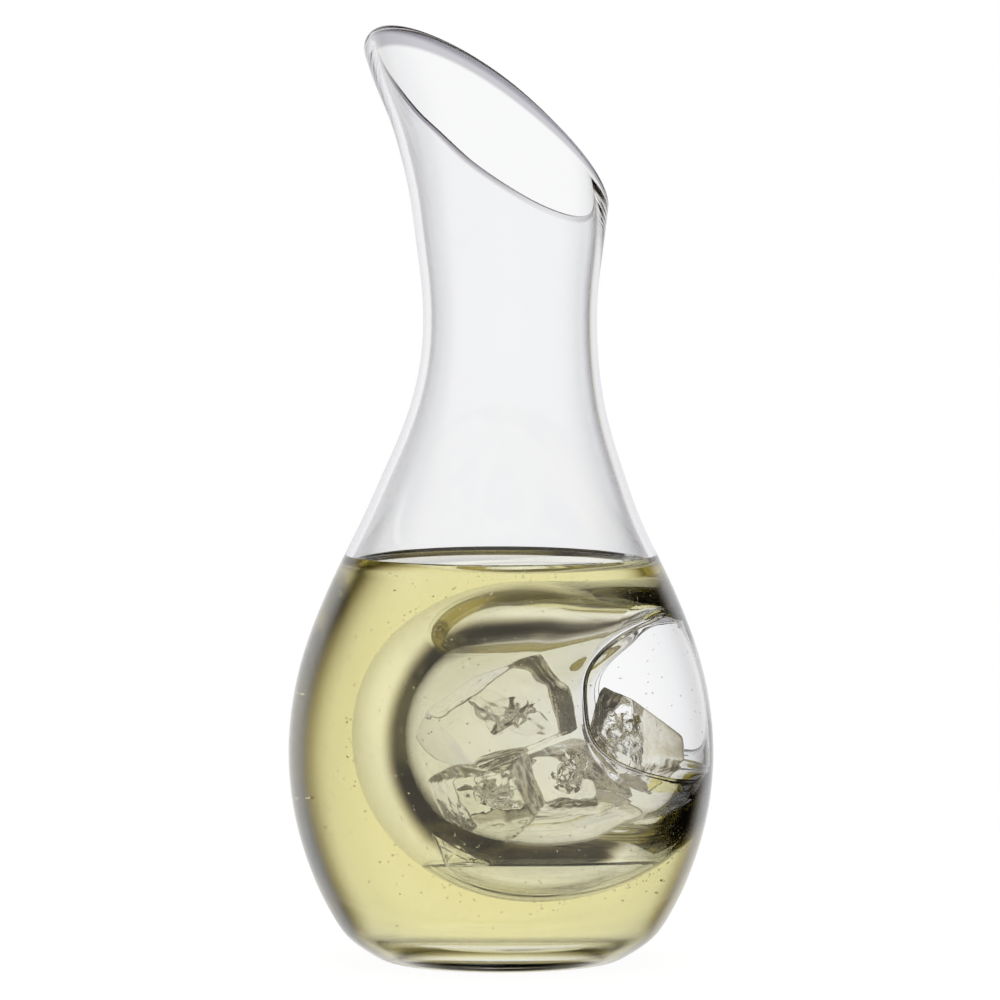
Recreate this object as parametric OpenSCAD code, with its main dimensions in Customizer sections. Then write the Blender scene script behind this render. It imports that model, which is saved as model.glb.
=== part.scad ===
// Blown glass carafe with a slanted rim and a side pocket for ice, shown filled

/* [Body] */
// Height of the high lip above the table
body_h = 310; // [280:5:340]
// Radius of the flat under the base
foot_r = 40; // [34:1:44]
// Largest radius of the belly
belly_r = 70.5; // [68:0.5:78]
// Height of the widest point of the belly
belly_z = 67; // [62:1:74]
// Radius of the neck at its waist
neck_r = 28.8; // [26:0.2:34]
// Height of the waist of the neck
waist_z = 210; // [205:1:225]
// Radius of the flare at the height of the high lip
lip_r = 51; // [46:0.5:56]
// Thickness of the blown wall
wall = 2.8; // [2:0.1:3.4]
// Thickness of the heavy base
base_t = 9.5; // [7:0.5:12]
// Radius of the flat floor inside
floor_r = 38; // [32:1:40]

/* [Slanted rim] */
// Slope of the rim from the high lip to the low side, in degrees
rim_tilt = 37; // [25:1:42]
// Height at which the rim plane crosses the axis
rim_mid_z = 271; // [262:1:276]

/* [Ice pocket] */
// Outer radius of the bulb
bulb_r = 46.5; // [42:0.5:48]
// Distance of the bulb's centre from the axis, towards the mouth
bulb_x = 11; // [8:0.5:14]
// Height of the bulb's centre
bulb_z = 73.5; // [70:0.5:78]
// Half the width of the oval mouth
mouth_a = 35; // [31:0.5:37]
// Half the height of the oval mouth
mouth_b = 24; // [21:0.5:26]
// Height of the middle of the mouth
mouth_z = 88.7; // [84:0.1:92]
// Thickness of the pocket's glass
pocket_wall = 2.4; // [1.8:0.1:3]
// Fullness of the bulb between its widest section and the mouth
bulb_fullness = 2.8; // [2.2:0.1:3.4]
// Thinnest layer of wine left between the bulb and the wall
film = 1.2; // [0.8:0.1:3]

/* [Contents] */
// Height of the wine
wine_z = 132; // [126:1:150]
// Height of the melted ice in the pocket
melt_z = 42; // [36:1:44]
// Edge of the largest ice cube
ice_w = 30; // [24:1:30]

/* [Hidden] */
$fn = 96;

// Clearance between the wine and the glass, and round the pocket's mouth
fit_gap = 0.15;
// Clearance between the melted ice, the pocket and the cubes
melt_gap = 0.5;
// How far a cut runs past the thing that it cuts
over = belly_r;

// Outline below the belly: share of its height, share from foot to belly radius
foot_shares = [[0, 0], [0.05, 0.18], [0.11, 0.355], [0.22, 0.528], [0.343, 0.669],
               [0.463, 0.777], [0.642, 0.898], [0.821, 0.972], [1, 1]];
// Outline of the shoulder: share from belly to waist height, share from neck to belly radius
shoulder_shares = [[0.112, 0.976], [0.224, 0.897], [0.336, 0.763], [0.44, 0.604], [0.552, 0.417],
                   [0.664, 0.261], [0.776, 0.12], [0.86, 0.048], [0.93, 0.01], [1, 0]];
// Outline of the flare: share from waist to lip height, share from neck to lip radius
flare_shares = [[0.12, 0.018], [0.28, 0.105], [0.44, 0.205], [0.56, 0.329], [0.67, 0.477],
                [0.79, 0.7], [0.91, 0.885], [1, 1], [1.06, 1.08]];

outline_marks = concat(
    [for (s = foot_shares) [foot_r + s[1] * (belly_r - foot_r), s[0] * belly_z]],
    [for (s = shoulder_shares)
        [neck_r + s[1] * (belly_r - neck_r), belly_z + s[0] * (waist_z - belly_z)]],
    [for (s = flare_shares)
        [neck_r + s[1] * (lip_r - neck_r), waist_z + s[0] * (body_h - waist_z)]]);

// A smooth curve through the marks, with the given number of steps between two marks
function curve_point(a, b, c, d, t) =
    0.5 * (2 * b + (c - a) * t + (2 * a - 5 * b + 4 * c - d) * t * t
           + (3 * b - a - 3 * c + d) * t * t * t);
function smooth_line(m, steps) = let (n = len(m))
    concat([for (i = [0 : n - 2], j = [0 : steps - 1])
        curve_point(m[max(i - 1, 0)], m[i], m[i + 1], m[min(i + 2, n - 1)], j / steps)],
        [m[n - 1]]);

// A line moved inwards, square to itself, by the thickness t
function moved_in(line, t) = let (n = len(line))
    [for (i = [0 : n - 1])
        let (d = line[min(i + 1, n - 1)] - line[max(i - 1, 0)])
        line[i] + t * [-d[1], d[0]] / norm(d)];

curve_steps = 3;
outer_line = smooth_line(outline_marks, curve_steps);
// The inside starts on the flat floor and joins the wall in a round corner
floor_corner = wall + base_t;
wall_marks = [for (p = moved_in(outline_marks, wall)) if (p[1] > base_t + floor_corner / 2) p];
inner_line = smooth_line(concat([[floor_r, base_t]], wall_marks), curve_steps);

// Radius of the outside and of the inside at a height
outer_table = [for (p = outer_line) [p[1], p[0]]];
inner_table = [for (p = inner_line) [p[1], p[0]]];
function outer_radius(z) = lookup(z, outer_table);
function inner_radius(z) = lookup(z, inner_table);

module turned_solid(line, bottom_z) {
    top_z = line[len(line) - 1][1];
    rotate_extrude() polygon(concat([[0, bottom_z]], line, [[0, top_z]]));
}

// Everything above the rim's slanted plane
module above_rim() {
    translate([0, 0, rim_mid_z]) rotate([0, rim_tilt, 0])
        translate([-2 * over, -2 * over, 0]) cube(4 * over);
}

mouth_sides = 48;
function mouth_point(i, a, b) =
    [a * cos(360 * i / mouth_sides), mouth_z + b * sin(360 * i / mouth_sides)];

// The window in the belly that the pocket's mouth is fused into
module mouth_window() {
    rotate([90, 0, 90]) linear_extrude(2 * over)
        polygon([for (i = [0 : mouth_sides - 1]) mouth_point(i, mouth_a, mouth_b)]);
}

module glass_body() {
    color([0.86, 0.9, 0.93, 0.4]) difference() {
        turned_solid(outer_line, 0);
        turned_solid(inner_line, base_t);
        above_rim();
        mouth_window();
    }
}

// The pocket's skin, drawn in by the thickness t. Round the bulb's back it is a ball. From the
// widest section it swells towards the wall, then folds over into the oval mouth.
back_rings = 10;
fold_rings = 12;
function held_inside(p, room) = let (r = norm([p[0], p[1]]), m = inner_radius(p[2]) - room)
    r > m ? [p[0] * m / r, p[1] * m / r, p[2]] : p;
function back_ring(k, t) = let (r = bulb_r - t, e = 90 * k / back_rings)
    [for (i = [0 : mouth_sides - 1]) let (q = 360 * i / mouth_sides)
        [bulb_x - r * cos(e), r * sin(e) * cos(q), bulb_z + r * sin(e) * sin(q)]];
function fold_ring(k, t) = let (u = 90 * k / fold_rings, s = sin(u),
        share = k == fold_rings ? 0 : pow(1 - pow(s, bulb_fullness), 1 / bulb_fullness))
    [for (i = [0 : mouth_sides - 1])
        let (q = 360 * i / mouth_sides,
             m = mouth_point(i, mouth_a - t - fit_gap, mouth_b - t - fit_gap),
             w = [(bulb_r - t) * cos(q), bulb_z + (bulb_r - t) * sin(q)],
             end_r = inner_radius(m[1]) - film - t,
             end_x = sqrt(end_r * end_r - m[0] * m[0]),
             p = m + share * (w - m))
        held_inside([bulb_x + s * (end_x - bulb_x), p[0], p[1]], film + t)];
function rim_ring(t) = [for (i = [0 : mouth_sides - 1])
    let (m = mouth_point(i, mouth_a - t - fit_gap, mouth_b - t - fit_gap),
         r = outer_radius(m[1]))
    [sqrt(r * r - m[0] * m[0]), m[0], m[1]]];
function skin_points(t) = concat(
    [for (k = [1 : back_rings - 1]) each back_ring(k, t)],
    [for (k = [0 : fold_rings]) each fold_ring(k, t)],
    rim_ring(t));
skin_rings = back_rings + fold_rings + 1;
function ring_faces(first, rings, out) =
    [for (k = [0 : rings - 2], i = [0 : mouth_sides - 1])
        let (a = first + k * mouth_sides + i,
             b = first + k * mouth_sides + (i + 1) % mouth_sides,
             c = a + mouth_sides, d = b + mouth_sides)
        each (out ? [[a, c, d], [a, d, b]] : [[a, d, c], [a, b, d]])];
function pole_faces(pole, first, out) = [for (i = [0 : mouth_sides - 1])
    let (a = first + i, b = first + (i + 1) % mouth_sides)
    out ? [pole, a, b] : [pole, b, a]];
skin_count = skin_rings * mouth_sides;

// The room that the pocket takes up, closed across its mouth
module pocket_room(t) {
    points = concat(skin_points(t), [[bulb_x - bulb_r + t, 0, bulb_z], [belly_r, 0, mouth_z]]);
    polyhedron(points, concat(ring_faces(0, skin_rings, true), pole_faces(skin_count, 0, true),
        pole_faces(skin_count + 1, skin_count - mouth_sides, false)), convexity = 6);
}

module ice_pocket() {
    points = concat(skin_points(0), [[bulb_x - bulb_r, 0, bulb_z]],
        skin_points(pocket_wall), [[bulb_x - bulb_r + pocket_wall, 0, bulb_z]]);
    inner = skin_count + 1;
    last = skin_count - mouth_sides;
    rim_faces = [for (i = [0 : mouth_sides - 1])
        let (a = last + i, b = last + (i + 1) % mouth_sides)
        each [[a, a + inner, b + inner], [a, b + inner, b]]];
    color([0.88, 0.92, 0.95, 0.4])
        polyhedron(points, concat(
            ring_faces(0, skin_rings, true), pole_faces(skin_count, 0, true), rim_faces,
            ring_faces(inner, skin_rings, false),
            pole_faces(inner + skin_count, inner, false)), convexity = 8);
}

module wine() {
    wine_line = concat([for (p = moved_in(inner_line, fit_gap))
        if (p[1] > base_t + fit_gap && p[1] < wine_z) p],
        [[inner_radius(wine_z) - fit_gap, wine_z]]);
    color([0.93, 0.87, 0.55, 0.6]) difference() {
        turned_solid(wine_line, base_t + fit_gap);
        pocket_room(-fit_gap);
    }
}

// A cube of ice with its corners melted round, grown by the thickness t
corner_share = 0.76;
module ice_cube(i, t = 0) {
    w = ice_w * ice_size_shares[i] + 2 * t;
    translate([bulb_x, 0, bulb_z] + bulb_r * ice_place_shares[i]) rotate(ice_turns[i])
        intersection() {
            cube(w, center = true);
            sphere(w * corner_share);
        }
}
// How large each cube is, as a share of the largest
ice_size_shares = [1, 0.9, 0.866, 0.933];
// Where each cube lies, as shares of the bulb's radius from its centre, and how it is turned
ice_place_shares = [[-0.208, -0.063, 0.236], [-0.119, -0.24, -0.437],
                    [0.118, 0.407, -0.421], [0.689, -0.132, -0.012]];
ice_turns = [[2.6, -11.6, 27.9], [-11.1, 0.3, 70.7], [33.8, 40.1, 92.7], [14.8, -31.4, 22.5]];
ice_color = [0.88, 0.92, 0.93, 0.6];

module ice_upper() { color(ice_color) ice_cube(0); }
module ice_lower() { color(ice_color) ice_cube(1); }
module ice_middle() { color(ice_color) ice_cube(2); }
module ice_mouth() { color(ice_color) ice_cube(3); }

// The melted ice lies in the bottom of the bulb, round the cubes that dip into it
module melt_water() {
    color([0.9, 0.93, 0.92, 0.5]) difference() {
        intersection() {
            translate([bulb_x, 0, bulb_z]) sphere(bulb_r - pocket_wall - melt_gap);
            translate([bulb_x - bulb_r, -bulb_r, 0]) cube([2 * bulb_r, 2 * bulb_r, melt_z]);
        }
        for (i = [1, 2]) ice_cube(i, melt_gap);
    }
}

glass_body();
ice_pocket();
wine();
melt_water();
ice_upper();
ice_lower();
ice_middle();
ice_mouth();
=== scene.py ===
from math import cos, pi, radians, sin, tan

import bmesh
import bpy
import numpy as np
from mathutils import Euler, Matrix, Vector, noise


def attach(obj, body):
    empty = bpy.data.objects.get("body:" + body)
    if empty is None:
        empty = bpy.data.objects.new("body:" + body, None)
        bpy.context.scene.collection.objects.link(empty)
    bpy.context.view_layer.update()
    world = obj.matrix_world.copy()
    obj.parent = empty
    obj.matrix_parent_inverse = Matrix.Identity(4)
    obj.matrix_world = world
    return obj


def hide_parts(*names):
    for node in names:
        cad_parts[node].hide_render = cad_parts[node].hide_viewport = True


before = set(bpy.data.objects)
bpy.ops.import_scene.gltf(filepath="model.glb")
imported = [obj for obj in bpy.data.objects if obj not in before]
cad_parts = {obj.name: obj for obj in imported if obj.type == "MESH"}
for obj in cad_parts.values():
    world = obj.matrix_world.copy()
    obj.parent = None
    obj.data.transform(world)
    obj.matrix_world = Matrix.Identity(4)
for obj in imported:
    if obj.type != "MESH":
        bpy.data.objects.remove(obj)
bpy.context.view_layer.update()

# %% [markdown]
# # A blown carafe with an ice pocket
# The frame holds the solids of the carafe at their real size. This lesson puts smooth glass, wine and ice
# round them. Everything is in metres, and the box of the solids is kept.

MM = 0.001

# %% [markdown]
# ## The outline
# A blown carafe is a surface of revolution, drawn as one line of radius and height. The marks are the ones
# that the solids follow, written as shares of the foot, belly, neck and lip. A spline through them keeps
# its curvature smooth, which matters more on glass than on any other material, because every kink shows as
# a ripple of light.

# %% Sizes of the carafe
foot_r, belly_r, neck_r, lip_r = 40 * MM, 70.5 * MM, 28.8 * MM, 51 * MM
belly_z, waist_z, top_z = 67 * MM, 210 * MM, 310 * MM
wall, base_t, floor_r = 2.8 * MM, 9.5 * MM, 38 * MM
rim_tilt, rim_mid_z = radians(37), 270.3 * MM
rim_wall = 3.9 * MM
foot_shares = [(0, 0), (0.05, 0.18), (0.11, 0.355), (0.22, 0.528), (0.343, 0.669),
               (0.463, 0.777), (0.642, 0.898), (0.821, 0.972), (1, 1)]
shoulder_shares = [(0.112, 0.976), (0.224, 0.897), (0.336, 0.763), (0.44, 0.604), (0.552, 0.417),
                   (0.664, 0.261), (0.776, 0.12), (0.86, 0.048), (1, 0)]
flare_shares = [(0.12, 0.018), (0.28, 0.105), (0.44, 0.205), (0.56, 0.329), (0.67, 0.477),
                (0.79, 0.7), (0.91, 0.885), (1, 1), (1.06, 1.08)]


def marks_between(shares, low_r, high_r, low_z, high_z):
    """Turns shares of height and radius into points of radius and height."""
    return [(low_r + s * (high_r - low_r), low_z + h * (high_z - low_z)) for h, s in shares]


outline_marks = (marks_between(foot_shares, foot_r, belly_r, 0, belly_z)
                 + marks_between(shoulder_shares, neck_r, belly_r, belly_z, waist_z)
                 + marks_between(flare_shares, neck_r, lip_r, waist_z, top_z))
print(len(outline_marks), "marks on the outline")


# %% A smooth line that knows its radius and its normal at each height
class Line:
    """A spline through marks of radius and height, read by height."""

    def __init__(self, points):
        self.points = np.asarray(points, float)
        slope = np.gradient(self.points, axis=0)
        slope /= np.linalg.norm(slope, axis=1)[:, None]
        self.normals = np.stack([slope[:, 1], -slope[:, 0]], axis=1)

    def at(self, z):
        """Radius at the height z."""
        return np.interp(z, self.points[:, 1], self.points[:, 0])

    def normal(self, z):
        """Outward normal at the height z, as its radial part and its upward part."""
        return [np.interp(z, self.points[:, 1], self.normals[:, k]) for k in (0, 1)]

    def moved_in(self, depth):
        """The same line, moved towards the inside by depth, square to itself."""
        return Line(self.points - depth * self.normals)


def spline(marks, step=0.25 * MM):
    """Points on a natural cubic spline through the marks."""
    m = np.array(marks, float)
    t = np.concatenate([[0], np.cumsum(np.linalg.norm(np.diff(m, axis=0), axis=1))])
    h, n = np.diff(t), len(m)
    system, rhs = np.eye(n), np.zeros((n, 2))
    for i in range(1, n - 1):
        system[i, i - 1:i + 2] = h[i - 1], 2 * (h[i - 1] + h[i]), h[i]
        rhs[i] = 6 * ((m[i + 1] - m[i]) / h[i] - (m[i] - m[i - 1]) / h[i - 1])
    bend = np.linalg.solve(system, rhs)
    at = np.linspace(0, t[-1], int(t[-1] / step))
    i = np.clip(np.searchsorted(t, at) - 1, 0, n - 2)
    a, b = ((t[i + 1] - at) / h[i])[:, None], ((at - t[i]) / h[i])[:, None]
    return (a * m[i] + b * m[i + 1]
            + ((a ** 3 - a) * bend[i] + (b ** 3 - b) * bend[i + 1]) * (h[i] ** 2)[:, None] / 6)


outer = Line(spline(outline_marks))
floor_marks = [(30 * MM, 0), (floor_r, 0.4 * MM), (46.5 * MM, 2.6 * MM)]
wall_from = 16 * MM
mark_every = 40
inner_marks = [(r, base_t + rise) for r, rise in floor_marks]
inner_marks += [(r, z) for r, z in outer.moved_in(wall).points[::mark_every] if z > wall_from]
inner = Line(spline(inner_marks))
print("belly", round(outer.at(belly_z) / MM, 2), "mm, inside", round(inner.at(belly_z) / MM, 2), "mm")

# %% [markdown]
# ## Skins of rows and columns
# Every glass surface here is a grid of points, so each one starts as a grid primitive that is set on its
# rows of points. The first and the last column meet and are merged. Where a skin has an opening, its faces
# are deleted, and the next skin starts exactly on the edge that is left, so the two can be sewn together.

# %% Helpers that make and sew skins
spokes = 192
spoke_angles = np.arange(spokes) * 2 * pi / spokes - pi
doubles = 1e-6


def skin(name, rows, holes=()):
    """A closed band through rows of points. A hole is a range of rows and a range of spokes."""
    rows = np.asarray(rows, float)
    rows = np.concatenate([rows, rows[:, :1]], axis=1)
    count, columns = rows.shape[:2]
    bpy.ops.object.select_all(action="DESELECT")
    bpy.ops.mesh.primitive_grid_add(x_subdivisions=columns - 1, y_subdivisions=count - 1, size=belly_r)
    piece = bpy.context.object
    piece.name = piece.data.name = name
    bpy.ops.object.mode_set(mode="EDIT")
    mesh = bmesh.from_edit_mesh(piece.data)
    for v, point in zip(mesh.verts, rows.reshape(-1, 3)):
        v.co = point
    bpy.ops.mesh.select_mode(type="FACE")
    bpy.ops.mesh.select_all(action="DESELECT")
    for f in mesh.faces:
        row, spoke = divmod(f.index, columns - 1)
        f.select_set(any(r0 <= row < r1 and s0 <= spoke < s1 for r0, r1, s0, s1 in holes))
    bpy.ops.mesh.delete(type="FACE")
    bpy.ops.object.mode_set(mode="OBJECT")
    return piece


def sew(*pieces):
    """Joins skins whose edges meet into one closed shell with its faces outwards."""
    bpy.ops.object.select_all(action="DESELECT")
    for piece in pieces:
        piece.select_set(True)
    bpy.context.view_layer.objects.active = pieces[0]
    if len(pieces) > 1:
        bpy.ops.object.join()
    bpy.ops.object.mode_set(mode="EDIT")
    bpy.ops.mesh.select_mode(type="VERT")
    bpy.ops.mesh.select_all(action="SELECT")
    bpy.ops.mesh.remove_doubles(threshold=doubles)
    bpy.ops.mesh.normals_make_consistent(inside=False)
    bpy.ops.object.mode_set(mode="OBJECT")
    bpy.ops.object.shade_smooth()
    piece = bpy.context.object
    mesh = bmesh.new()
    mesh.from_mesh(piece.data)
    open_edges = sum(not e.is_manifold for e in mesh.edges)
    print(piece.name, len(piece.data.polygons), "faces,", open_edges, "open edges,",
          round(mesh.calc_volume() * 1e6, 1), "ml")
    mesh.free()
    return piece


def ring(radius, height):
    """Points of one row round the axis. Radius and height may differ from spoke to spoke."""
    height = np.broadcast_to(height, spokes)
    return np.stack([radius * np.cos(spoke_angles), radius * np.sin(spoke_angles), height], axis=1)


def on_wall(turn, z, line):
    """Points on the wall from the angle round the axis and the height."""
    r = line.at(z)
    return np.stack([r * np.cos(turn), r * np.sin(turn), z], axis=1)


def rounded(rows, corner, reach=4, times=6):
    """The same rows with the corner at one row rounded off, by averaging its neighbours."""
    rows = np.array(rows)
    for _ in range(times):
        part = slice(corner - reach, corner + reach + 1)
        around = rows[corner - reach - 1:corner + reach + 2]
        rows[part] = (around[:-2] + 2 * around[1:-1] + around[2:]) / 4
    return rows


# %% [markdown]
# ## The pocket, and the side that the photo shows
# The pocket is a second skin, open at an oval mouth and closed towards the wine. Its bulb is a ball at the
# back. Towards the mouth it flares out to the wall and is fused with it in a wide oval, far beyond the
# mouth on one side. The glass is a little thicker there and holds no wine, so that one looks straight
# through it. The bulb was judged in the photo, so places in it are given as the photo shows them:
# to the right, away from the eye and up.

# %% Directions as seen in the photo
view_turn, view_rise = radians(-35), radians(3)
seen_right = np.array([cos(view_turn), sin(view_turn), 0])
seen_away = np.array([-sin(view_turn), cos(view_turn), 0])
up = np.array([0, 0, 1.0])


def as_seen(point):
    """The place of a point that is given in mm as right, away and up."""
    return np.array(point) @ np.array([seen_right, seen_away, up]) * MM


print("the mouth's side is seen at", [round(v, 2) for v in (seen_right[0], seen_away[0])], "right and away")

# %% Where the pocket meets the wall
mouth_a, mouth_b, mouth_z = 36 * MM, 23 * MM, 88.7 * MM
fused_near, fused_far, fused_high = radians(100), radians(37.5), 28.5 * MM
fused_power = 3
fused_wall, near_lip = 4.4 * MM, 1.2 * MM
thin_turn = radians(48)
air_inset, wine_inset = 2.4 * MM, 0.9 * MM


def mouth_oval(t, grown, line):
    """The mouth's edge on the wall: angle round the axis and height of each point."""
    z = mouth_z + (mouth_b + grown) * np.sin(t)
    return np.arcsin((mouth_a + grown) * np.cos(t) / line.at(z)), z


def fused_oval(t, inset):
    """The edge of the fused stretch, a full oval on the near side and an ellipse on the far side."""
    c, s = np.cos(t), np.sin(t)
    full = np.where(c < 0, (np.abs(c) ** fused_power + np.abs(s) ** fused_power) ** (-1 / fused_power), 1)
    turn = (np.where(c < 0, fused_near, fused_far) - inset / belly_r) * full * c
    return turn, mouth_z + (fused_high - inset) * full * s


def fused_depth(turn):
    """Thickness of the fused wall, which is drawn out thin round the near side of the mouth."""
    c = np.clip(np.abs(turn + thin_turn) / thin_turn, 0, 1)
    return near_lip + (fused_wall - near_lip) * c * c * (3 - 2 * c)


print("the pocket is fused with the wall over", round((fused_near + fused_far) * belly_r / MM), "mm")

# %% [markdown]
# ## The swollen bulb
# On the real carafe the bulb sagged towards one side of the mouth while the glass was soft. A chain of
# balls along a curve describes that: its hull is smooth everywhere and has no flat or hollow place. A soft
# minimum keeps the hull off the wall, and near the mouth a flare carries the skin out to the edge that is
# fused with the wall. A gentle flare is needed, because light is trapped in steep glass and it would look
# black.

# %% The reach of the bulb
bulb_r, pocket_wall = 46.5 * MM, 1.9 * MM
bulb = np.array([6.5, -7, 73.5]) * MM
chain = [((9.3, -2, 73.5), bulb_r / MM), ((27, -21, 74), 45), ((52, -24, 89), 28)]
film, softness = 0.4 * MM, 4 * MM
farthest, halvings = 200 * MM, 30


def swollen(rays):
    """How far the swollen bulb reaches from its middle: the hull of a chain of balls."""
    reach = np.zeros(len(rays))
    for s in np.linspace(0, 1, 100):
        weights = (1 - s) ** 2, 2 * s * (1 - s), s ** 2
        offset = sum(w * as_seen(place) for w, (place, _) in zip(weights, chain)) - bulb
        radius = sum(w * r for w, (_, r) in zip(weights, chain)) * MM
        along = rays @ offset
        under = along ** 2 - offset @ offset + radius ** 2
        reach = np.maximum(reach, np.where(under > 0, along + np.sqrt(np.clip(under, 0, None)), 0))
    return reach


def to_wall(rays):
    """Distance from the middle of the bulb to the inside of the wall along each ray."""
    low, high = np.zeros(len(rays)), np.full(len(rays), farthest)
    for _ in range(halvings):
        middle = (low + high) / 2
        x, y, z = (bulb + middle[:, None] * rays).T
        inside = np.hypot(x, y) < inner.at(z)
        low, high = np.where(inside, middle, low), np.where(inside, high, middle)
    return low


def reach_of_bulb(rays, depth):
    """The bulb's reach along each ray, held off the wall by a soft minimum."""
    a, b = swollen(rays) - depth, to_wall(rays) - film - depth
    share = np.clip(0.5 + (b - a) / (2 * softness), 0, 1)
    return (b + share * (a - b) - softness * share * (1 - share))[:, None]


print("the bulb is", round(2 * bulb_r / MM), "mm wide and comes within", film / MM, "mm of the wall")

# %% The bulb's rows, from the fused edge to its back
bay_turn = radians(-33)
flare, flare_fullness = radians(42), 0.5
crowding = 1.25
ahead = np.array([belly_r * cos(bay_turn), belly_r * sin(bay_turn), mouth_z]) - bulb
ahead /= np.linalg.norm(ahead)


def bulb_rows(edge, depth, count):
    """Rows of the bulb's skin from an edge on the wall to the pole at its back."""
    start = edge - bulb
    wall_reach = np.linalg.norm(start, axis=1)[:, None]
    start /= wall_reach
    whole = np.arccos(start @ -ahead)[:, None]
    first = reach_of_bulb(start, depth)
    rows = []
    for k in range(1, count + 1):
        turned = whole * (k / count) ** crowding
        ray = (np.sin(whole - turned) * start - np.sin(turned) * ahead) / np.sin(whole)
        s = np.clip(turned / flare, 0, 1)
        flared = (1 - s) ** 2 * (1 + flare_fullness * s)
        rows.append(bulb + (reach_of_bulb(ray, depth) + (wall_reach - first) * flared) * ray)
    return rows


print("the middle of the mouth's bay lies", round(np.degrees(bay_turn)), "degrees round the axis")

# %% [markdown]
# ## The windows in the wall
# The outside of the wall is open where the mouth's fold starts, and its inside is open where the pocket is
# fused to it. Each opening is a plain window in the grid. A fan of rows leads from the window's square
# edge to the oval, so no face has to be cut.

# %% The windows in the wall
row_step = 2 * MM
closing = 1.4
outer_window = dict(low=58 * MM, high=120 * MM, spokes=(-22, 22))
inner_window = dict(low=44 * MM, high=124 * MM, spokes=(-67, 32))


def window_edge(window):
    """Angles and heights of the points round a window, in order from its lower near corner."""
    first, last = window["spokes"]
    across = np.arange(first, last) * 2 * pi / spokes
    climb = np.arange(round((window["high"] - window["low"]) / row_step)) * row_step
    turn = np.concatenate([across, np.full(len(climb), across[-1] + 2 * pi / spokes),
                           across[::-1] + 2 * pi / spokes, np.full(len(climb), across[0])])
    z = np.concatenate([np.full(len(across), window["low"]), window["low"] + climb,
                        np.full(len(across), window["high"]), window["high"] - climb])
    return turn, z


def between(from_turn, from_z, to_turn, to_z, line, count):
    """Rows on the wall that close in from one oval to another, denser towards the second."""
    shares = [1 - (1 - k / count) ** closing for k in range(1, count + 1)]
    return [on_wall(from_turn + s * (to_turn - from_turn), from_z + s * (to_z - from_z), line)
            for s in shares]


print("the windows are", *(round((w["high"] - w["low"]) / MM) for w in (outer_window, inner_window)),
      "mm high")

# %% The two skins of the pocket
wine_fan, air_fan, fold_rows, wall_fan, bulb_steps = 9, 7, 10, 16, 48


def in_wall(points):
    """Points on the outside of the wall, moved in by the thickness of the fused wall there."""
    turn = np.arctan2(points[:, 1], points[:, 0])
    nr, nz = outer.normal(points[:, 2])
    depth = fused_depth(turn)
    return points - (depth * np.stack([nr * np.cos(turn), nr * np.sin(turn), nz])).T


def wine_side(name, line, inset, depth):
    """The skin from the window in the inside of the wall to the back of the bulb."""
    turn, z = window_edge(inner_window)
    t = np.arctan2((z - mouth_z) / fused_high,
                   turn / np.where(turn < 0, fused_near, fused_far))
    rows = [on_wall(turn, z, line)] + between(turn, z, *fused_oval(t, inset), line, wine_fan)
    corner = len(rows) - 1
    rows += bulb_rows(rows[-1], depth, bulb_steps)
    return skin(name, rounded(rows, corner, times=3))


def air_side(name):
    """The skin from the window in the outside of the wall over the lip to the back of the bulb."""
    turn, z = window_edge(outer_window)
    t = np.arctan2((z - mouth_z) / mouth_b, np.sin(turn) * belly_r / mouth_a)
    lip = fused_depth(mouth_oval(t, 0, outer)[0]) / 2
    edge_turn, edge_z = mouth_oval(t, lip, outer)
    rows = [on_wall(turn, z, outer)] + between(turn, z, edge_turn, edge_z, outer, air_fan)
    start = rows[-1]
    along = np.roll(start, -1, axis=0) - np.roll(start, 1, axis=0)
    nr, nz = outer.normal(edge_z)
    normal = np.stack([nr * np.cos(edge_turn), nr * np.sin(edge_turn), nz], axis=1)
    inwards = np.cross(normal, along / np.linalg.norm(along, axis=1)[:, None])
    for k in range(1, fold_rows + 1):
        fold = pi * k / fold_rows
        onward, inward = lip * sin(fold), lip * (1 - cos(fold))
        rows.append(start + onward[:, None] * inwards - inward[:, None] * normal)
    x, y, z = rows[-1].T
    fused = between(np.arctan2(y, x), z, *fused_oval(t, air_inset), outer, wall_fan)
    rows += [in_wall(row) for row in fused]
    corner = len(rows) - 1
    rows += bulb_rows(rows[-1], pocket_wall, bulb_steps)
    return skin(name, rounded(rows, corner))


print("the fold of the mouth has", fold_rows, "rows")

# %% [markdown]
# ## The glass
# One skin makes the whole carafe, as on the real one: from the middle of the underside up the outside,
# over the fire-polished rim, down the inside and across the floor. The rim is cut slanting, so above the
# shoulder the rows fan out to follow it. The neck of the real one leans a little, because it was drawn out
# by hand.

# %% The wall, the rim and the floor
neck_lean, lean_from, lean_over = 3 * MM, 135 * MM, 75 * MM
fan_from = 200 * MM
fan_rows, rim_rows, rim_swell, rim_rounds = 52, 8, 8, 60
underside = [(0, 1), (10, 1), (20, 0.8), (30, 0.5), (36, 0.15), (38.4, 0), (39.5, 0.1), (40.4, 0.45)]
floor_to, floor_rings = 15.5 * MM, (22, 14, 7, 0)
floor_every = 8
wall_rows = np.concatenate([np.array([1, 2, 3, 4.2, 5.5, 7, 8.5]) * MM, np.arange(10, 200, 2) * MM])


def leaned(rows):
    """The same rows, shifted sideways above the shoulder."""
    rows = np.array(rows)
    s = np.clip((rows[..., 2] - lean_from) / lean_over, 0, 1)
    shift = neck_lean * s * s * (3 - 2 * s)
    return rows + shift[..., None] * seen_right


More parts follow.
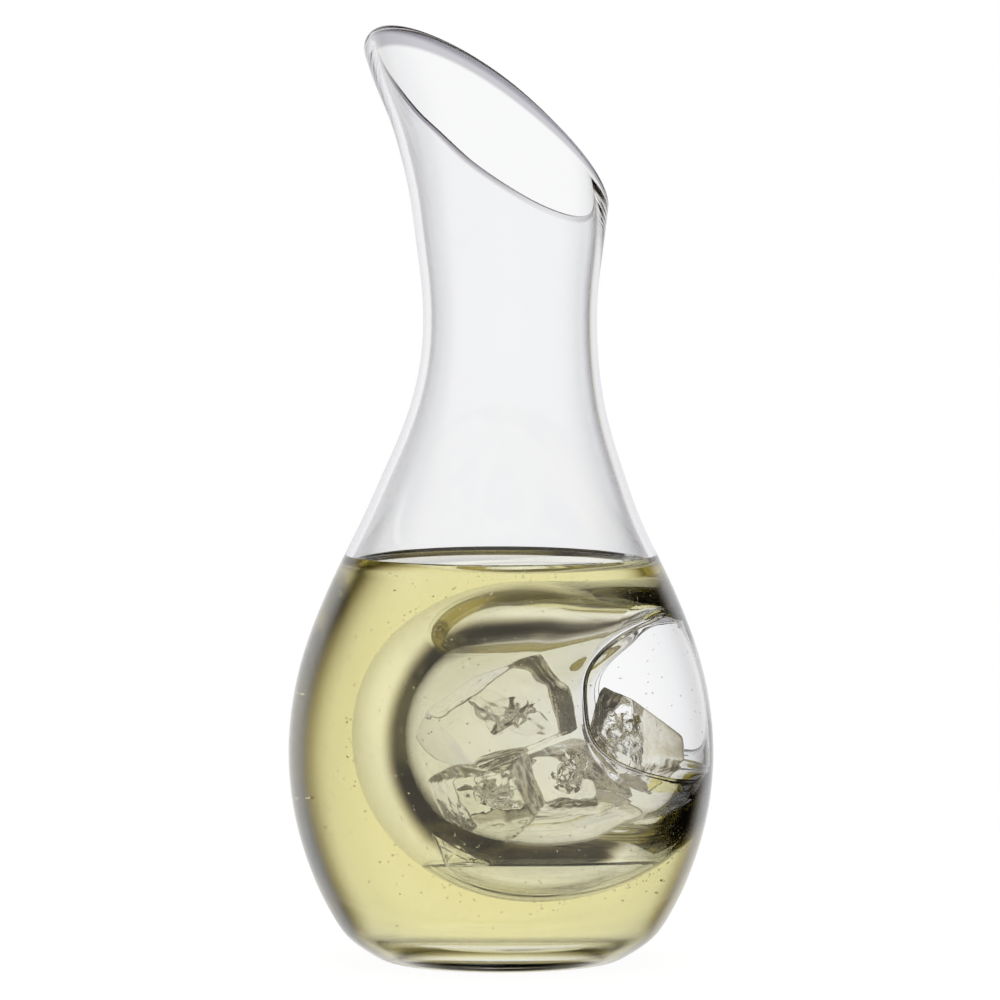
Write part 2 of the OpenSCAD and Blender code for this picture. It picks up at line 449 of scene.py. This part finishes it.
def rim_height():
    """Height of the outer edge of the rim at each spoke, one bead below the slanted cut."""
    z = np.full(spokes, rim_mid_z)
    for _ in range(rim_rounds):
        z = 0.5 * z + 0.5 * (rim_mid_z - rim_wall / 2 - tan(rim_tilt) * outer.at(z) * np.cos(spoke_angles))
    return z


def fan(line, to_z, k):
    """Row number k of the fan between the shoulder and the rim."""
    z = fan_from + (to_z - fan_from) * k / fan_rows
    return ring(line.at(z), z)


def floor_rows(line):
    """Rows from the foot of the inside wall to the middle of the floor."""
    curved = [p for p in line.points[::floor_every] if p[1] <= floor_to][::-1]
    return [ring(r, z) for r, z in curved] + [ring(r * MM, curved[-1][1]) for r in floor_rings]


def holes_of(window, first_row, falling=False):
    """A window as a range of rows and a range of spokes, for rows that start at first_row."""
    low, high = (int(np.argmin(np.abs(wall_rows - window[end]))) for end in ("low", "high"))
    if falling:
        low, high = len(wall_rows) - 1 - high, len(wall_rows) - 1 - low
    return (first_row + low, first_row + high, *(spokes // 2 + k for k in window["spokes"]))


# %% The body, from under the foot over the rim to the inner floor
edge_z = rim_height()
nr, nz = outer.normal(edge_z)
inner_edge_z = edge_z - rim_wall * nz
inner_edge_r = outer.at(edge_z) - rim_wall * nr
rows = [ring(r * MM, z * MM) for r, z in underside]
outer_first = len(rows)
rows += [ring(outer.at(z), z) for z in wall_rows]
rows += [fan(outer, edge_z, k) for k in range(fan_rows + 1)]
for k in range(1, rim_rows):
    turn = pi * k / rim_rows
    across, rise = rim_wall / 2 * (1 - cos(turn)), rim_wall / 2 * sin(turn)
    rows.append(ring(outer.at(edge_z) - across * nr - rise * nz, edge_z - across * nz + rise * nr))
for k in range(fan_rows, -1, -1):
    row = fan(inner, inner_edge_z, k)
    thicker = 1 + (inner_edge_r / inner.at(inner_edge_z) - 1) * (k / fan_rows) ** rim_swell
    rows.append(row * np.stack([thicker, thicker, thicker ** 0], axis=1))
inner_first = len(rows)
rows += [ring(inner.at(z), z) for z in wall_rows[::-1] if z > wall_from]
rows += floor_rows(inner)
body = skin("carafe_glass", leaned(rows), [holes_of(outer_window, outer_first),
                                           holes_of(inner_window, inner_first, falling=True)])
glass = sew(body, air_side("pocket_inside"), wine_side("pocket_outside", inner, 0, 0))

# %% [markdown]
# ## The wine
# The liquid's skin lies a third of a millimetre inside the glass. A ray that enters the glass and then the
# wine is bent by both, and comes out as it would at a true border between the two.

# %% The wine round the pocket
sunk = 0.35 * MM
wine_z = 132 * MM
wine_wall = inner.moved_in(-sunk)
top_r = wine_wall.at(wine_z)
meniscus = [(0, 1.6), (0.7, 0.9), (1.25, 0.45), (2.1, 0.15), (3.5, 0)]
rows = [ring(top_r * s, wine_z) for s in np.linspace(0, 0.9, 13)]
rows += [ring(top_r - back * MM, wine_z + rise * MM) for back, rise in meniscus[::-1]]
wine_first = len(rows)
dry_rows = sum(wall_rows >= wine_z)
rows += [ring(wine_wall.at(z), z) for z in wall_rows[::-1] if wall_from < z < wine_z]
rows += floor_rows(wine_wall)
wine = sew(skin("wine_fill", rows, [holes_of(inner_window, wine_first - dry_rows, falling=True)]),
           wine_side("wine_pocket", wine_wall, wine_inset, sunk))

# %% [markdown]
# ## Bubbles in the wine
# Fine bubbles cling to the cold bulb and hang in the wine. Each is a ball of 20 faces whose normals point
# inwards, joined into the wine, so light leaves the wine at its skin and enters it again. Rays from the
# middle of the bulb pick their places, so none lies in the glass.

# %% Bubbles
tries, clinging_share, cling_depth_share = 900, 0.5, 0.02
bubble_gap, bubble_low, bubble_high = 1 * MM, 0.13, 0.36
rng = np.random.default_rng(4)
rays = rng.normal(size=(tries, 3))
rays /= np.linalg.norm(rays, axis=1)[:, None]
bulb_reach = reach_of_bulb(rays, 0)[:, 0]
free = to_wall(rays) - bulb_reach - 2 * bubble_gap
clinging = rng.random(len(rays)) < clinging_share
shares = np.where(clinging, cling_depth_share, rng.random(len(rays)))
places = bulb + rays * (bulb_reach + bubble_gap + np.clip(free, 0, None) * shares)[:, None]
heights = places[:, 2]
in_wine = (heights < wine_z - 2 * bubble_gap) & (heights > base_t + 2 * bubble_gap)
places = places[(free > bubble_gap) & in_wine]
bpy.ops.object.select_all(action="DESELECT")
bpy.ops.mesh.primitive_ico_sphere_add(subdivisions=1, radius=0.2 * MM, location=(0, 0, 20 * MM))
bubbles = bpy.context.object
bubbles.name = bubbles.data.name = "bubbles"
bpy.ops.object.transform_apply()
bpy.ops.object.mode_set(mode="EDIT")
for spot in places:
    size = rng.uniform(bubble_low, bubble_high) * MM
    bpy.ops.mesh.primitive_ico_sphere_add(subdivisions=1, radius=size, location=spot)
bpy.ops.mesh.select_all(action="SELECT")
bpy.ops.mesh.flip_normals()
bpy.ops.object.mode_set(mode="OBJECT")
bpy.ops.object.shade_smooth()
bpy.ops.object.select_all(action="DESELECT")
bubbles.select_set(True)
wine.select_set(True)
bpy.context.view_layer.objects.active = wine
bpy.ops.object.join()
print(len(places), "bubbles")

# %% [markdown]
# ## The melt water
# Melted ice stands in the bottom of the bulb. The water finds the shape of the pocket by itself: rays are
# cast sideways from its middle to the glass, height by height, and each row of its skin is set where they
# hit.

# %% The melt water
water_z = 38.5 * MM
pool = Vector((bulb[0], bulb[1], 0))
water_rows = 22
brim_back_share, brim_rise_share = 0.8, 0.7


def reach_of(z):
    """Distance from the middle of the pool to the glass at the height z, spoke by spoke."""
    start = Vector((pool.x, pool.y, z))
    found = []
    for turn in spoke_angles:
        hit, spot, *_ = glass.ray_cast(start, (cos(turn), sin(turn), 0))
        found.append((spot - start).length if hit else 0)
    return np.array(found)


def pool_ring(reach, z):
    """Points round the middle of the pool."""
    return ring(reach, z) + np.array(pool)


deepest = glass.ray_cast((pool.x, pool.y, water_z), (0, 0, -1))[1].z
rows = [pool_ring(0 * spoke_angles, deepest - sunk)]
for k in range(1, water_rows + 1):
    z = deepest + (water_z - deepest) * (k / water_rows) ** 2
    rows.append(pool_ring(reach_of(z) + sunk, z))
brim = reach_of(water_z) + sunk
for back, rise in meniscus:
    rows.append(pool_ring(brim - back * MM * brim_back_share, water_z + rise * MM * brim_rise_share))
rows += [pool_ring(brim * share, water_z) for share in (0.85, 0.6, 0.3, 0)]
water = sew(skin("melt", rows))

# %% [markdown]
# ## The ice
# The photo shows broken, half melted ice. Each piece starts as a ball whose points are pulled in to a few
# tilted planes, so it has flat faces and edges rounded by melting, and noise makes the faces wavy. The
# cracks are thin bent sheets of air inside it, turned inside out. Where a piece dips into the water it is
# cut flat just under the surface, and the water fills the rest.

# %% Helpers for ice
def ball(name, fineness):
    """An icosphere of radius 1 and its points."""
    bpy.ops.object.select_all(action="DESELECT")
    bpy.ops.mesh.primitive_ico_sphere_add(subdivisions=fineness, radius=1)
    piece = bpy.context.object
    piece.name = piece.data.name = name
    return piece, np.array([v.co for v in piece.data.vertices])


def set_points(piece, points, flipped=False):
    """Sets the points of a mesh in edit mode and turns its faces round for a hollow."""
    bpy.ops.object.mode_set(mode="EDIT")
    mesh = bmesh.from_edit_mesh(piece.data)
    for v, point in zip(mesh.verts, points):
        v.co = point
    bpy.ops.mesh.select_all(action="SELECT")
    if flipped:
        bpy.ops.mesh.flip_normals()
    bpy.ops.object.mode_set(mode="OBJECT")
    bpy.ops.object.shade_smooth()


def waves(points, size, seed):
    """Smooth noise between -1 and 1 at each point."""
    offset = Vector((seed * 7.3, seed * 3.1, seed * 5.7))
    return np.array([noise.noise(Vector(p) / size + offset) for p in points])


# %% A piece of ice
chips, cracks, roundness = 7, 7, 46
ice_fineness, crack_fineness = 6, 4
crack_t, crack_bend, crack_above = 0.05 * MM, 2.2 * MM, 1 * MM
tilt_share, scatter_share, spread_share, narrow_share = 0.07, 0.3, 0.35, 0.7
chip_shares, crack_shares = (0.74, 0.9), (0.35, 0.62)
deep_melt, fine_melt = 0.02, 0.006
deep_wave, fine_wave, crack_wave = 0.35, 0.09, 0.7
dips_within = 25 * MM


def faces_of(middle, half, axes, rng):
    """Outward normals and depths of the tilted planes that the block is cut to."""
    normals, depths = [], []
    for axis, depth in zip(axes, half):
        for side in (-1, 1):
            tilted = side * axis + rng.normal(0, tilt_share, 3)
            normals.append(tilted / np.linalg.norm(tilted))
            depths.append(depth)
    for _ in range(chips):
        corner = rng.choice([-1, 0, 1], 3, p=[0.4, 0.2, 0.4]) * half
        chip = corner @ axes + rng.normal(0, scatter_share, 3) * half.mean()
        reach = np.linalg.norm(chip)
        normals.append(chip / reach)
        depths.append(reach * rng.uniform(*chip_shares))
    if middle[2] - water_z < dips_within:
        normals.append(-up)
        depths.append(middle[2] - water_z + sunk)
    return np.array(normals), np.array(depths)


def ice(name, middle, sizes, turns, seed):
    """A block of ice. Its middle is given in mm as seen in the photo, its turns in degrees."""
    rng = np.random.default_rng(seed)
    middle = as_seen(middle)
    axes = np.array(Euler([radians(a) for a in turns]).to_matrix()) @ np.array([seen_right, seen_away, up])
    half = np.array(sizes) / 2 * MM
    normals, depths = faces_of(middle, half, axes, rng)
    hull, rays = ball(name, ice_fineness)
    nearness = np.clip(rays @ normals.T, 0, None) / depths
    reach = (nearness ** roundness).sum(axis=1) ** (-1 / roundness)
    reach *= 1 + deep_melt * waves(rays, deep_wave, seed) + fine_melt * waves(rays, fine_wave, seed + 1)
    points = middle + rays * reach[:, None]
    points[:, 2] = np.maximum(points[:, 2], water_z - sunk)
    set_points(hull, points)
    parts = [hull]
    for k in range(cracks):
        sheet, rays = ball(name + "_crack", crack_fineness)
        size = half * rng.uniform(*crack_shares)
        flat = rays * [size.mean(), size.mean() * narrow_share, crack_t]
        flat[:, 2] += crack_bend * waves(rays * [1, 1, 0], crack_wave, seed + 10 * k)
        way = Euler(rng.uniform(0, 2 * pi, 3)).to_matrix()
        at = middle + (rng.uniform(-spread_share, spread_share, 3) * half) @ axes
        flat = flat @ np.array(way) + at
        flat[:, 2] = np.maximum(flat[:, 2], water_z + crack_above + crack_t * rays[:, 2])
        set_points(sheet, flat, flipped=True)
        parts.append(sheet)
    bpy.ops.object.select_all(action="DESELECT")
    for part in parts:
        part.select_set(True)
    bpy.context.view_layer.objects.active = hull
    bpy.ops.object.join()
    print(name, len(hull.data.polygons), "faces")
    return hull


ices = {
    "ice_upper": ice("ice_slab", (-7, -10, 83), (38, 22, 32), (-12, 26, -32), 3),
    "ice_lower": ice("ice_prism", (-8, -16, 52), (22, 22, 32), (5, 20, 12), 5),
    "ice_middle": ice("ice_block", (14, 6, 52), (34, 24, 28), (-10, 10, 24), 8),
    "ice_mouth": ice("ice_cube", (38, -12, 71), (26, 24, 28), (8, -32, 30), 11),
}

# %% [markdown]
# ## The camera
# The photo was taken with a long lens from just above the table, so the camera stands 2 m away and the
# width of the picture sets its lens.

# %% The camera
view_far, picture_px, px_per_m = 2.0, 1000, 3020.0
aim_z, aim_left_px = 152.3 * MM, 1
away, right = Vector(seen_away), Vector(seen_right)
aim = Vector((0, 0, aim_z)) - right * (aim_left_px / px_per_m)
camera_data = bpy.data.cameras.new("camera")
camera = bpy.data.objects.new("camera", camera_data)
bpy.context.scene.collection.objects.link(camera)
back = -away * cos(view_rise) + Vector((0, 0, sin(view_rise)))
camera.location = aim + back * view_far
camera.rotation_euler = (-back).to_track_quat("-Z", "Y").to_euler()
camera_data.lens = camera_data.sensor_width * view_far / (picture_px / px_per_m)
camera_data.clip_end = 10 * view_far
bpy.context.scene.camera = camera
print("lens", round(camera_data.lens), "mm")

# %% [markdown]
# ## A short way to write shader nodes
# Shader maths is easier to read as sums and products than as a web of nodes. A small class wraps a socket,
# and each operator on it adds the Math node that does the work.


# %% Sums and products of sockets
class Value:
    """A socket of a node tree that takes part in sums and products."""

    def __init__(self, tree, socket):
        self.tree, self.socket = tree, socket

    def math(self, operation, *others, swap=False):
        args = [self, *others]
        if swap:
            args.reverse()
        return add_node(self.tree, "ShaderNodeMath", dict(operation=operation), *args)

    def __add__(self, other):
        return self.math("ADD", other)

    def __radd__(self, other):
        return self.math("ADD", other)

    def __mul__(self, other):
        return self.math("MULTIPLY", other)

    def __rmul__(self, other):
        return self.math("MULTIPLY", other)

    def __sub__(self, other):
        return self.math("SUBTRACT", other)

    def __rsub__(self, other):
        return self.math("SUBTRACT", other, swap=True)

    def most(self, other):
        return self.math("MAXIMUM", other)

    def band(self, low, high):
        """Climbs smoothly from 0 to 1 between low and high."""
        smooth = dict(interpolation_type="SMOOTHSTEP")
        return add_node(self.tree, "ShaderNodeMapRange", smooth, self, low, high, 0, 1)


def add_node(tree, kind, settings=None, *inputs, out=0, **named):
    """Adds a node, sets it up and links or sets its sockets. Returns one of its outputs."""
    node = tree.nodes.new(kind)
    for key, setting in (settings or {}).items():
        setattr(node, key, setting)
    pairs = list(zip(range(len(inputs)), inputs)) + [(k.replace("_", " "), v) for k, v in named.items()]
    for key, given in pairs:
        if isinstance(given, Value):
            tree.links.new(given.socket, node.inputs[key])
        elif given is not None:
            node.inputs[key].default_value = given
    return Value(tree, node.outputs[out])


# %% [markdown]
# ## The light
# Glass is drawn by what it bends into view. The carafe stands before a white wall of light, the sides of
# the room are dark, and the room behind the camera is dimmer. So the edges of the glass are dark lines on
# white. The camera itself sees plain white everywhere, while all other rays see the room. A warm colour in
# the dark keeps the lines brown.

# %% The world
wall_turn, side_dark, front_share, top_share = radians(4), 0.012, 0.45, 0.8
wall_edge, wall_core = radians(54), radians(33)
front_edge, front_core = radians(76), radians(102)
top_from, top_full = 0.75, 0.95
dark_color, white = (1, 0.86, 0.62, 1), (1, 1, 1, 1)
world = bpy.data.worlds.new("studio")
bpy.context.scene.world = world
world.use_nodes = True
room = world.node_tree
room.nodes.clear()
direction = add_node(room, "ShaderNodeTexCoord", out=0)
wall_middle = away * cos(wall_turn) - right * sin(wall_turn)
dot = dict(operation="DOT_PRODUCT")
facing = add_node(room, "ShaderNodeVectorMath", dot, direction, tuple(wall_middle), out=1)
height = add_node(room, "ShaderNodeSeparateXYZ", None, direction, out=2)
lit_back = facing.band(cos(wall_edge), cos(wall_core))
lit_front = (0 - facing).band(-cos(front_edge), -cos(front_core))
lit_top = height.band(top_from, top_full)
brightest = lit_back.most(lit_front * front_share).most(lit_top * top_share)
lit = side_dark + brightest * (1 - side_dark)
path = room.nodes.new("ShaderNodeLightPath")
seen = Value(room, path.outputs["Is Camera Ray"])
strength = seen.most(lit)
warm = add_node(room, "ShaderNodeMix", dict(data_type="RGBA"), strength, out=2)
warm.socket.node.inputs[6].default_value = dark_color
warm.socket.node.inputs[7].default_value = white
color = add_node(room, "ShaderNodeBackground", None, warm, strength)
output = room.nodes.new("ShaderNodeOutputWorld")
room.links.new(color.socket, output.inputs[0])
print("the world has", len(room.nodes), "nodes")

# %% [markdown]
# ## The floor
# A pale disc a little under the foot catches the shadow. It glows for the camera, so that it fades into
# the white, and glass doesn't see it.

# %% The floor
floor_r_out, floor_gap, floor_glow, glow_share = 0.42, 0.2 * MM, 1.2, 0.8
bpy.ops.object.select_all(action="DESELECT")
bpy.ops.mesh.primitive_circle_add(vertices=96, radius=floor_r_out, fill_type="NGON")
floor = bpy.context.object
floor.name = "floor"
bpy.ops.object.mode_set(mode="EDIT")
bpy.ops.transform.translate(value=(0, 0, -floor_gap))
bpy.ops.object.mode_set(mode="OBJECT")
pale = bpy.data.materials.new("pale_floor")
pale.use_nodes = True
tree = pale.node_tree
tree.nodes.clear()
paper_color = (0.8, 0.8, 0.8, 1)
paper = add_node(tree, "ShaderNodeBsdfDiffuse", None, paper_color)
glow = add_node(tree, "ShaderNodeEmission", None, white, floor_glow)
floor_path = tree.nodes.new("ShaderNodeLightPath")
seen_floor = Value(tree, floor_path.outputs["Is Camera Ray"])
mixed = add_node(tree, "ShaderNodeMixShader", None, seen_floor * glow_share, paper, glow)
floor_out = tree.nodes.new("ShaderNodeOutputMaterial")
tree.links.new(mixed.socket, floor_out.inputs[0])
floor.data.materials.append(pale)
floor.visible_transmission = floor.visible_glossy = False
print("the floor is", round(2 * floor_r_out / MM), "mm wide")

# %% [markdown]
# ## Glass, wine, ice and water
# All four are clear, so each has its real index of refraction and no roughness, and the light does most of
# the
# rest. The glass has painted shade: a darker tint where it is seen edge on and all over the bead of the
# rim.
# It stands in for the dark sides of the room that these places bend into view, and in part for the long way
# light travels inside the glass there. The wine gets its straw colour from absorption, which deepens
# with the way through it.

# %% The painted shade on the rim
rim_shade_from, rim_shade_full = -2.6 * MM, -1.2 * MM


def rim_shade(tree):
    """Mask of the painted shade on the rim: 1 on the bead of the slanted rim and 0 below it."""
    spot = tree.nodes.new("ShaderNodeTexCoord")
    parts = tree.nodes.new("ShaderNodeSeparateXYZ")
    tree.links.new(spot.outputs["Object"], parts.inputs[0])
    x, z = Value(tree, parts.outputs["X"]), Value(tree, parts.outputs["Z"])
    above = z + (x - neck_lean * cos(view_turn)) * tan(rim_tilt) - rim_mid_z
    return above.band(rim_shade_from, rim_shade_full)


# The tint on the bead is painted shade. It stands in for the dark that the rounded rim bends into view.
print("the bead's tint starts", round(-rim_shade_from / MM, 1), "mm below the rim")

# %% Clear materials
# Where glass seen edge on gets its painted shade, as shares of its facing.
edge_shade_from, edge_shade_full = 0.45, 0.95


def clear_material(name, ior, tint, absorb=None, density=0.0, edge=None):
    """A clear material with a tint, a painted shade where it is seen edge on and on the rim's bead, and
    absorption inside.
    """
    material = bpy.data.materials.new(name)
    material.use_nodes = True
    tree = material.node_tree
    shader = tree.nodes["Principled BSDF"]
    shader.inputs["Base Color"].default_value = (*tint, 1)
    # Painted shade: the edge colour is mixed in where the glass is seen edge on and on the rim's bead.
    if edge:
        facing = add_node(tree, "ShaderNodeLayerWeight", None, 0.5, out=1)
        dark = facing.band(edge_shade_from, edge_shade_full).most(rim_shade(tree))
        mix = add_node(tree, "ShaderNodeMix", dict(data_type="RGBA"), dark, out=2)
        mix.socket.node.inputs[6].default_value = (*tint, 1)
        mix.socket.node.inputs[7].default_value = (*edge, 1)
        tree.links.new(mix.socket, shader.inputs["Base Color"])
    shader.inputs["Roughness"].default_value = 0
    shader.inputs["IOR"].default_value = ior
    shader.inputs["Transmission Weight"].default_value = 1
    if absorb:
        volume = add_node(tree, "ShaderNodeVolumeAbsorption", None, (*absorb, 1), density)
        tree.links.new(volume.socket, tree.nodes["Material Output"].inputs["Volume"])
    return material


# The third colour of the glass is painted shade for its edges and rim.
no_tint, glass_tint, glass_edge_shade = (1, 1, 1), (0.984, 0.989, 1.0), (0.38, 0.37, 0.42)
straw, straw_density, ice_tint = (0.88, 0.8, 0.02), 8.6, (0.99, 0.99, 0.98)
glass_ior, wine_ior, ice_ior, water_ior = 1.5, 1.34, 1.31, 1.33
glass_look = clear_material("clear_glass", glass_ior, glass_tint, edge=glass_edge_shade)
wine_look = clear_material("pale_wine", wine_ior, no_tint, straw, straw_density)
ice_look = clear_material("clear_ice", ice_ior, ice_tint)
water_look = clear_material("melt", water_ior, no_tint)
print(len(bpy.data.materials), "materials in the file")

# %% Pieces, the solids that they stand for, and their finishes
glass.data.materials.append(glass_look)
wine.data.materials.append(wine_look)
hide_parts("glass_body", "ice_pocket")
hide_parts("wine")
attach(glass, "root")
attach(wine, "root")
water.data.materials.append(water_look)
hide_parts("melt_water")
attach(water, "root")
for node, piece in ices.items():
    piece.data.materials.clear()
    piece.data.materials.append(ice_look)
    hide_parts(node)
    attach(piece, "root")
print(3 + len(ices), "pieces ride on the body")

# %% [markdown]
# ## Deep glass
# A ray passes up to a dozen skins on its way through the carafe, the wine, the pocket and the ice. With
# too few bounces it would end black inside, so the limits are raised.

# %% Bounces
scene = bpy.context.scene
scene.view_settings.view_transform = "Standard"
through, mirrored = 32, 12
scene.cycles.max_bounces = through
scene.cycles.transmission_bounces = through
scene.cycles.glossy_bounces = mirrored
print(scene.cycles.max_bounces, "bounces")
